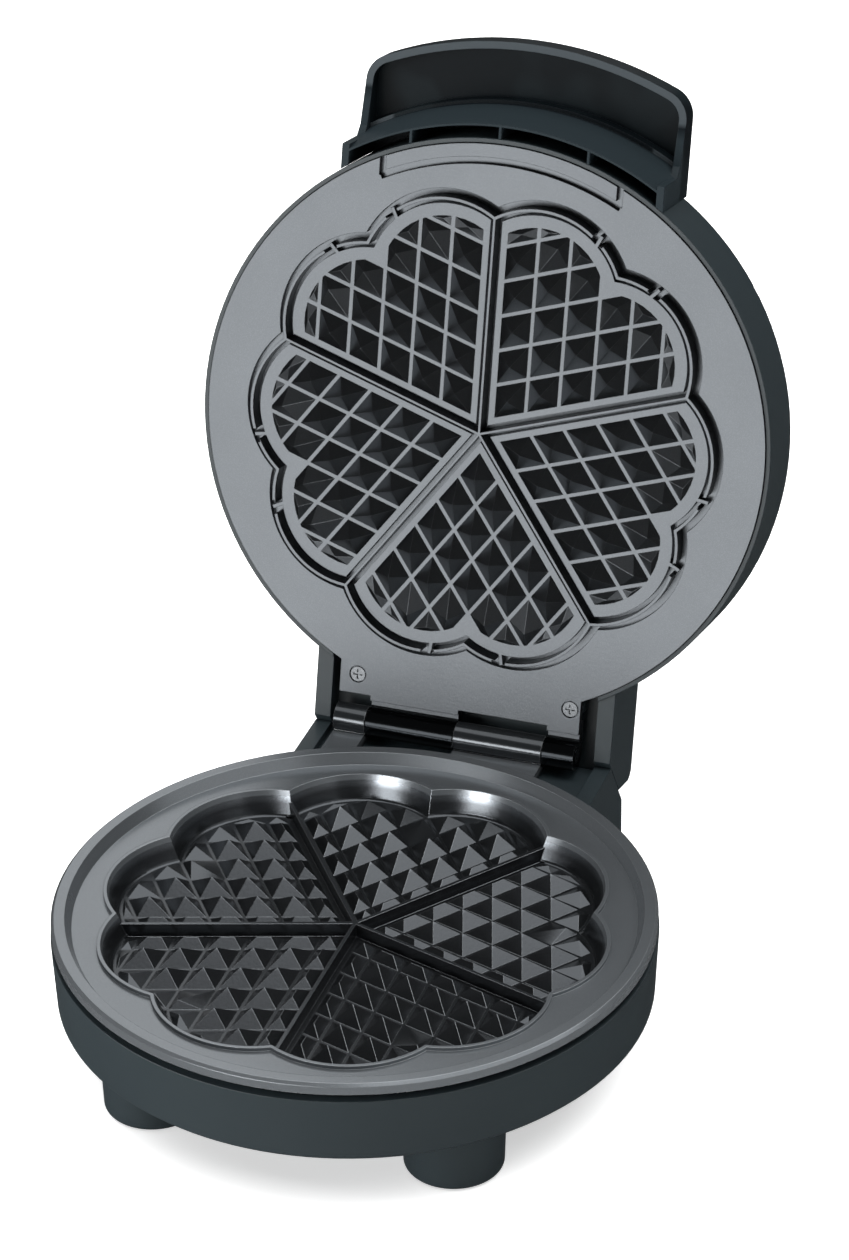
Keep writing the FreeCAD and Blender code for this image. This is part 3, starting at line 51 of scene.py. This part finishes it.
class Nodes:
    """Short calls for building one material's node tree."""

    def __init__(self, name):
        self.slot = name
        self.material = bpy.data.materials.new(name)
        self.material.use_nodes = True
        self.tree = self.material.node_tree
        self.shader = self.tree.nodes["Principled BSDF"]
        coordinates = self.add("TexCoord").outputs
        self.place = coordinates["Object"]
        self.facing = coordinates["Normal"]

    def add(self, kind, **values):
        node = self.tree.nodes.new("ShaderNode" + kind)
        for key, value in values.items():
            setattr(node, key, value)
        return node

    def link(self, source, target):
        self.tree.links.new(source, target)

    def put(self, socket, value):
        if isinstance(value, bpy.types.NodeSocket):
            self.link(value, socket)
        else:
            socket.default_value = value

    def maths(self, operation, a, b=0.0):
        node = self.add("Math", operation=operation)
        for socket, value in zip(node.inputs, (a, b)):
            self.put(socket, value)
        return node.outputs[0]

    def noise(self, scale, detail=2.0, rough=0.5):
        node = self.add("TexNoise")
        self.link(self.place, node.inputs["Vector"])
        node.inputs["Scale"].default_value = scale
        node.inputs["Detail"].default_value = detail
        node.inputs["Roughness"].default_value = rough
        return node.outputs["Fac"]

    def speckle(self, scale):
        node = self.add("TexVoronoi")
        self.link(self.place, node.inputs["Vector"])
        node.inputs["Scale"].default_value = scale
        return node.outputs["Distance"]

    def between(self, value, low, high, new_low, new_high):
        """Carries a value from one range to another and holds it at the new range's ends."""
        node = self.add("MapRange")
        for socket, number in zip(node.inputs, (value, low, high, new_low, new_high)):
            self.put(socket, number)
        return node.outputs[0]

    def mix(self, share, first, second):
        node = self.add("Mix", data_type="RGBA")
        self.put(node.inputs["Factor"], share)
        self.put(node.inputs["A"], first)
        self.put(node.inputs["B"], second)
        return node.outputs["Result"]

    def bump(self, height, distance, after):
        """Small relief on top of the normals that are given."""
        node = self.add("Bump")
        node.inputs["Distance"].default_value = distance
        self.link(height, node.inputs["Height"])
        if after is not None:
            self.link(after, node.inputs["Normal"])
        return node.outputs["Normal"]

    def set(self, **values):
        names = {"color": "Base Color", "metal": "Metallic", "rough": "Roughness",
                 "normal": "Normal", "spec": "Specular IOR Level", "coat": "Coat Weight",
                 "through": "Transmission Weight"}
        for key, value in values.items():
            self.put(self.shader.inputs[names[key]], value)

    def dot(self, vector, direction):
        node = self.add("VectorMath", operation="DOT_PRODUCT")
        for socket, value in zip(node.inputs, (vector, direction)):
            self.put(socket, value)
        return node.outputs["Value"]

    def from_hinge(self):
        """The point's place measured from the hinge's axis."""
        node = self.add("VectorMath", operation="SUBTRACT")
        self.link(self.place, node.inputs[0])
        node.inputs[1].default_value = hinge
        return node.outputs["Vector"]

    def part_of(self, vector, axis):
        split = self.add("SeparateXYZ")
        self.link(vector, split.inputs[0])
        return split.outputs[axis]

    def turned(self, normal):
        """How far a normal leans away from the true one: 0 on faces, more on edges."""
        true_normal = self.add("NewGeometry").outputs["Normal"]
        return self.maths("SUBTRACT", 1.0, self.dot(normal, true_normal))

    def rounded(self, radius):
        """Normals that turn over sharp edges as if they were slightly rounded."""
        node = self.add("Bevel", samples=6)
        node.inputs["Radius"].default_value = radius
        return node.outputs["Normal"]


def rgb(r, g, b):
    return (r, g, b, 1.0)


def darker(tone, share):
    return tuple(channel * share for channel in tone)


def moulded_plastic(name, dark, light, rough):
    """A moulded plastic with a fine spark-eroded grain and slow variation in tone and gloss."""
    grain_depth = 0.00003
    gloss_range = 0.012
    edge_radius = 0.0004
    m = Nodes(name)
    m.set(color=m.mix(m.noise(14.0, 3.0), rgb(*dark), rgb(*light)),
          rough=m.between(m.noise(60.0, 4.0), 0.3, 0.7, rough - gloss_range, rough + gloss_range),
          normal=m.bump(m.noise(2600.0, 2.0, 0.6), grain_depth, m.rounded(edge_radius)))
    return m


def handle_plastic():
    """Black plastic: dark and patchy in the recess, lighter on the shelf, lightest on the rim, where a highlight
    is painted.
    """
    rim_level = -0.0217           # rim's face behind the hinge, square to the lid
    rim_end = 0.225               # from here up the lid, and beyond rim_side, a face is the rim's
    rim_side = 0.0465
    m = moulded_plastic("handle_plastic", (0.004, 0.006, 0.0075), (0.006, 0.009, 0.011), 0.36)
    place = m.from_hinge()
    ahead = m.dot(place, lid_out)
    along = m.dot(place, lid_along)
    sideways = m.maths("ABSOLUTE", m.part_of(place, "X"))
    level = m.maths("MULTIPLY",
                    m.between(ahead, rim_level - 0.0013, rim_level - 0.0005, 0.0, 1.0),
                    m.between(ahead, rim_level + 0.0004, rim_level + 0.0008, 1.0, 0.0))
    outer = m.maths("MAXIMUM", m.between(along, rim_end - 0.001, rim_end + 0.001, 0.0, 1.0),
                    m.between(sideways, rim_side - 0.0005, rim_side + 0.0005, 0.0, 1.0))
    outward = m.between(m.dot(m.facing, lid_out), 0.80, 0.95, 0.0, 1.0)
    # painted highlight: the rim's outward faces get a lighter colour, as if catching the light
    rim_highlight = m.maths("MULTIPLY", m.maths("MULTIPLY", level, outer), outward)
    shelf = m.between(ahead, rim_level + 0.0008, rim_level + 0.0017, 0.0, 1.0)
    patch = m.between(m.noise(35.0, 1.0), 0.46, 0.54, 0.0, 1.0)
    recess = m.mix(patch, rgb(0.004, 0.006, 0.0075), rgb(0.007, 0.0105, 0.0125))
    body = m.mix(shelf, recess, rgb(0.017, 0.024, 0.028))
    # the lightest colour here is the rim's painted highlight
    m.set(color=m.mix(rim_highlight, body, rgb(0.046, 0.055, 0.061)), spec=0.06)
    return m


def plate_coating(name, tone, metallic, rough, peel, deep_tone, deep_rough, deep_z):
    """A sprayed coating on a casting: orange peel, metallic speckle, and thin edges coloured lighter as a painted
    highlight.

    Below deep_z, in the cavity, it has its own tone and gloss; in the cavity's lowest part it is
    duller and darkened with painted shade, and on the hinge's barrels glossy and painted black as shade.
    """
    barrel_rough = 0.15
    bottom_shade_tone = rgb(*darker(deep_tone, 0.30))
    bottom_dulling = 0.20
    bottom_start, bottom_full = deep_z - 0.0006, deep_z - 0.0026
    blend = 0.0003                # half the height over which the cavity's finish sets in
    barrel_blend = 0.0002
    deep_metallic = 0.88
    gloss_range = 0.01
    edge_radius = 0.0003
    m = Nodes(name)
    z = m.part_of(m.place, "Z")
    place = m.from_hinge()
    off_y, off_z = (m.part_of(place, axis) for axis in "YZ")
    off = m.maths("SQRT", m.maths("ADD", m.maths("MULTIPLY", off_y, off_y),
                                  m.maths("MULTIPLY", off_z, off_z)))
    deep = m.between(z, deep_z - blend, deep_z + blend, 1.0, 0.0)
    shaded_dull_bottom = m.between(z, bottom_full, bottom_start, 1.0, 0.0)
    barrel_shade_and_gloss = m.between(off, barrel_radius - barrel_blend, barrel_radius + barrel_blend, 1.0, 0.0)
    fleck = m.between(m.speckle(3000.0), 0.05, 0.45, 1.0, 0.0)
    bend = m.rounded(edge_radius)
    # painted highlight: edges are coloured lighter the more the rounded normals turn
    edge_highlight = m.between(m.turned(bend), 0.03, 0.22, 0.0, 0.75)
    face = m.mix(deep, rgb(*tone), rgb(*deep_tone))
    # painted shade: the hinge's barrels, of the same coating as the plates, are coloured near black
    face = m.mix(barrel_shade_and_gloss, face, rgb(0.045, 0.050, 0.055))
    face = m.mix(m.between(fleck, 0.0, 1.0, 0.24, 0.0), face, rgb(0, 0, 0))
    # painted shade: the lowest part of the cavity is coloured darker
    face = m.mix(shaded_dull_bottom, face, bottom_shade_tone)
    cavity_gloss = m.maths("SUBTRACT", m.between(deep, 0.0, 1.0, 0.0, rough - deep_rough),
                           m.between(shaded_dull_bottom, 0.0, 1.0, 0.0, bottom_dulling))
    barrel_gloss = m.between(barrel_shade_and_gloss, 0.0, 1.0, 0.0, rough - barrel_rough)
    uneven = m.between(m.noise(40.0, 3.0), 0.3, 0.7, rough - gloss_range, rough + gloss_range)
    m.set(color=m.mix(edge_highlight, face, rgb(0.42, 0.44, 0.46)),
          metal=m.between(deep, 0.0, 1.0, metallic, deep_metallic),
          rough=m.maths("SUBTRACT", uneven, m.maths("MAXIMUM", cavity_gloss, barrel_gloss)),
          normal=m.bump(m.noise(900.0, 3.0, 0.6), peel, bend))
    return m


def metal(name, color, rough):
    """Bare metal with fine scratches."""
    scratch_depth = 0.00001
    m = Nodes(name)
    m.set(color=m.mix(m.noise(300.0, 4.0), rgb(*darker(color, 0.85)), rgb(*color)), metal=1.0,
          rough=m.between(m.noise(500.0, 3.0), 0.3, 0.7, rough - 0.06, rough + 0.08),
          normal=m.bump(m.noise(1500.0, 3.0), scratch_depth, None))
    return m


def lens(name, color):
    """Glossy clear plastic with a soft pebbled surface."""
    pebble_depth = 0.00004
    m = Nodes(name)
    m.set(color=rgb(*color), rough=0.16, coat=0.6, through=0.35,
          normal=m.bump(m.noise(700.0, 1.0), pebble_depth, None))
    return m


upper_tone = (0.165, 0.177, 0.189)
skins = [
    moulded_plastic("casing_plastic", (0.0150, 0.0228, 0.0265), (0.0190, 0.0278, 0.0320), 0.42),
    handle_plastic(),
    moulded_plastic("inner_plastic", (0.10, 0.10, 0.10), (0.13, 0.13, 0.13), 0.5),
    moulded_plastic("terminal_plastic", (0.72, 0.71, 0.65), (0.80, 0.79, 0.74), 0.45),
    moulded_plastic("soft_rubber", (0.014, 0.014, 0.014), (0.022, 0.022, 0.022), 0.78),
    moulded_plastic("ceramic", (0.80, 0.77, 0.70), (0.87, 0.85, 0.79), 0.55),
    plate_coating("upper_coating", upper_tone, 0.95, 0.30, 0.000025, upper_tone, 0.30, 0.0),
    plate_coating("lower_coating", (0.235, 0.255, 0.273), 0.62, 0.24, 0.000018,
                  (0.205, 0.222, 0.240), 0.21, cavity_z),
    metal("bright_steel", (0.20, 0.21, 0.22), 0.26),
    metal("heater_steel", (0.33, 0.30, 0.27), 0.42),
    metal("sheet_aluminium", (0.80, 0.80, 0.81), 0.28),
    lens("red_lens", (0.62, 0.03, 0.02)),
    lens("green_lens", (0.03, 0.42, 0.09))]
by_slot = {skin.slot: skin.material for skin in skins}
sharpest_round = 24.0             # degrees between faces that still count as one round surface
sharpest_round_on = {"upper_plate": 11.0, "lower_plate": 17.0}


def dress(obj, material, split_angle):
    """Gives a piece its material and clean shading: flat faces flat, round faces smooth."""
    mesh = obj.data
    mesh.materials.clear()
    mesh.materials.append(material)
    mesh.polygons.foreach_set("material_index", [0] * len(mesh.polygons))
    if "custom_normal" in mesh.attributes:
        mesh.attributes.remove(mesh.attributes["custom_normal"])
    mesh.polygons.foreach_set("use_smooth", [True] * len(mesh.polygons))
    weld = obj.modifiers.new("weld", "WELD")
    weld.merge_threshold = 0.000002
    split = obj.modifiers.new("split", "EDGE_SPLIT")
    split.split_angle = math.radians(split_angle)
    even = obj.modifiers.new("even", "WEIGHTED_NORMAL")
    even.mode = "FACE_AREA"
    even.weight = 90


for row in frame["record"]["subparts"]:
    dress(nodes[row["node"]], by_slot[row["material_slot"]],
          sharpest_round_on.get(row["node"], sharpest_round))

# ---------------------------------------------------------------- floor


def pale_paper(name, color, rough, glow):
    material = bpy.data.materials.new(name)
    material.use_nodes = True
    inputs = material.node_tree.nodes["Principled BSDF"].inputs
    inputs["Base Color"].default_value = rgb(*color)
    inputs["Roughness"].default_value = rough
    inputs["Emission Color"].default_value = rgb(1, 1, 1)
    inputs["Emission Strength"].default_value = glow
    return material


reach = 30.0
floor_mesh = bpy.data.meshes.new("floor")
floor_mesh.from_pydata([(-reach, -reach, 0), (reach, -reach, 0), (reach, reach, 0),
                        (-reach, reach, 0)], [], [(0, 1, 2, 3)])
floor_mesh.materials.append(pale_paper("pale_floor", (0.92, 0.92, 0.92), 0.9, 0.55))
floor = bpy.data.objects.new("floor", floor_mesh)
scene.collection.objects.link(floor)
floor.visible_glossy = False

# ---------------------------------------------------------------- light


def group(name, members):
    """A named set of objects that a light may be limited to."""
    collection = bpy.data.collections.new(name)
    for member in members:
        collection.objects.link(member)
    return collection


def all_but(*left_out):
    return [node for name, node in nodes.items() if name not in left_out]


def panel(name, place, aim, width, height, power, reaches=None):
    """A rectangular soft light that faces a point and may reach only some objects."""
    data = bpy.data.lights.new(name, "AREA")
    data.shape = "RECTANGLE"
    data.size, data.size_y = width, height
    data.energy = power
    light = bpy.data.objects.new(name, data)
    scene.collection.objects.link(light)
    light.location = place
    light.rotation_mode = "QUATERNION"
    light.rotation_quaternion = (Vector(aim) - Vector(place)).to_track_quat("-Z", "Y")
    if reaches is not None:
        light.light_linking.receiver_collection = reaches


# the floor has its own light, so that it can be white while the waffle maker stays dark
floor_only = group("floor_only", [floor])
all_but_lid_plate = group("all_but_lid_plate", all_but("upper_plate"))
all_but_plates = group("all_but_plates", all_but("upper_plate", "lower_plate"))
lower_plate_only = group("lower_plate_only", [nodes["lower_plate"]])
mouldings_only = group("mouldings_only", [nodes[name] for name in (
    "base_casing", "lid_casing", "handle", "front_foot_left", "front_foot_right")])

front = lid_middle + Vector((-0.283, -0.957, -0.02)) * 1.35
back = lower_middle + Vector((-0.283, 0.812, 0.51)) * 1.7
side = lower_middle + Vector((0.80, -0.25, 0.62)) * 1.5
wall = lower_middle + Vector((-0.283, -0.949, 0.16)) * 1.2
overhead = (0.25, 0.35, 2.1)
left = (-1.5, -1.1, 0.55)
panel("floor_panel", (0.0, -0.1, 3.0), (0, 0, 0), 5.0, 5.0, 330.0, floor_only)
panel("front_panel", front, lid_middle, 1.0, 0.8, 7.9)
panel("back_panel", back, lower_middle, 1.2, 0.9, 3.9)
panel("side_panel", side, lower_middle, 1.7, 1.7, 6.0, all_but_lid_plate)
panel("top_panel", overhead, lower_middle, 1.8, 1.8, 56.0, all_but_plates)
panel("lower_plate_panel", overhead, lower_middle, 3.2, 3.2, 72.0, lower_plate_only)
panel("wall_panel", wall, lower_middle, 0.55, 0.30, 5.5, lower_plate_only)
panel("left_panel", left, lower_middle, 1.0, 1.0, 36.0, mouldings_only)

world = bpy.data.worlds.new("studio")
world.use_nodes = True
surroundings = world.node_tree.nodes["Background"].inputs
surroundings["Color"].default_value = rgb(1, 1, 1)
surroundings["Strength"].default_value = 0.05
scene.world = world
scene.view_settings.view_transform = "Standard"
scene.view_settings.look = "None"

# ---------------------------------------------------------------- camera

camera_data = bpy.data.cameras.new("camera")
camera_data.sensor_width = 36.0
camera_data.lens = 145.697
camera_data.clip_end = 100.0
camera = bpy.data.objects.new("camera", camera_data)
scene.collection.objects.link(camera)
scene.camera = camera
azimuth, elevation, roll = (math.radians(angle) for angle in (19.218, 30.749, -0.780))
distance = 1.630144
aim = Vector((0.025909, plate_axis.y, lip_z + 0.114085))
away = Vector((math.sin(azimuth) * math.cos(elevation), -math.cos(azimuth) * math.cos(elevation),
               math.sin(elevation)))
right = Vector((math.cos(azimuth), math.sin(azimuth), 0))
up = away.cross(right)
across = right * math.cos(roll) + up * math.sin(roll)
upward = up * math.cos(roll) - right * math.sin(roll)
turn = Matrix((across, upward, away)).transposed().to_4x4()
camera.matrix_world = Matrix.Translation(aim + away * distance) @ turn
